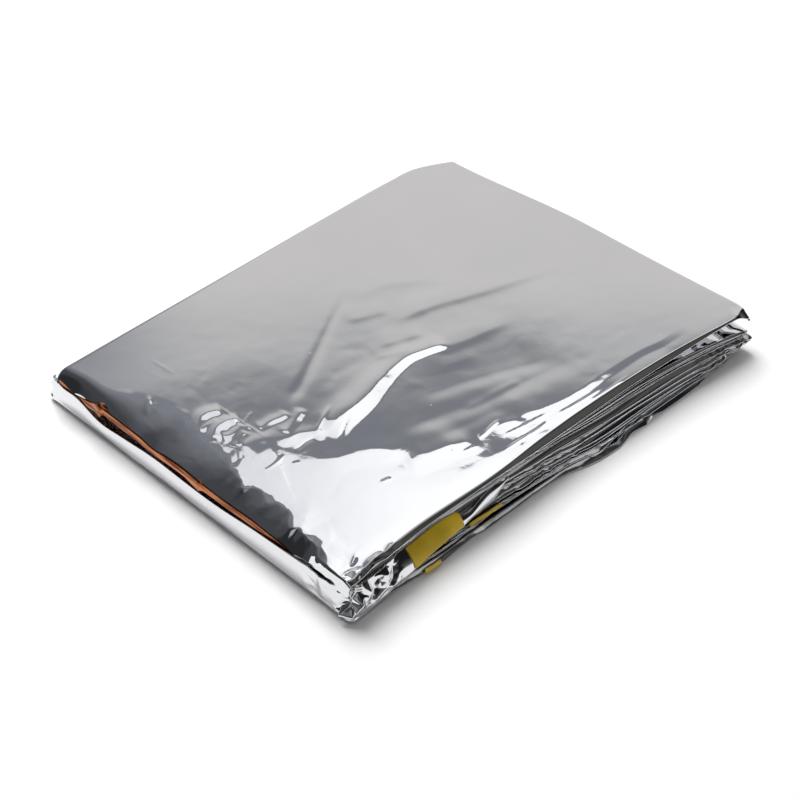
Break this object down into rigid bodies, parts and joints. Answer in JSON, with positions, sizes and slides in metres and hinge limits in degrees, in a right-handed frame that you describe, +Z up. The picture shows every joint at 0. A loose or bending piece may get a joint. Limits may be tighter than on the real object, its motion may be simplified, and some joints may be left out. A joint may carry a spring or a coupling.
{
  "type": "folded emergency sleeping bag",
  "caption": "Mirror-bright metallised film bag folded into a flat oblong pack, with an end band turned up round a copper-faced inner fold and yellow seam tape on its long side.",
  "frame": {"origin": "under the middle of the folded pack, on the surface it lies on", "axes": "+X along the pack's long side, away from the end with the turned-up band; -Y towards the long side with the seam tape; +Z up out of the top sheet"},
  "size_m": [0.167, 0.137, 0.0145],
  "materials": {
    "silver_film": "mirror-bright metallised polyester film, finely creased",
    "copper_film": "copper-toned metallised polyester film, glossy",
    "seam_tape": "yellow adhesive film tape, semi-gloss"
  },
  "bodies": {
    "root": {"film_bag": "silver_film", "inner_film": "copper_film", "seam_tape_main": "seam_tape", "seam_tape_side": "seam_tape", "seam_tape_low": "seam_tape"}
  },
  "joints": []
}
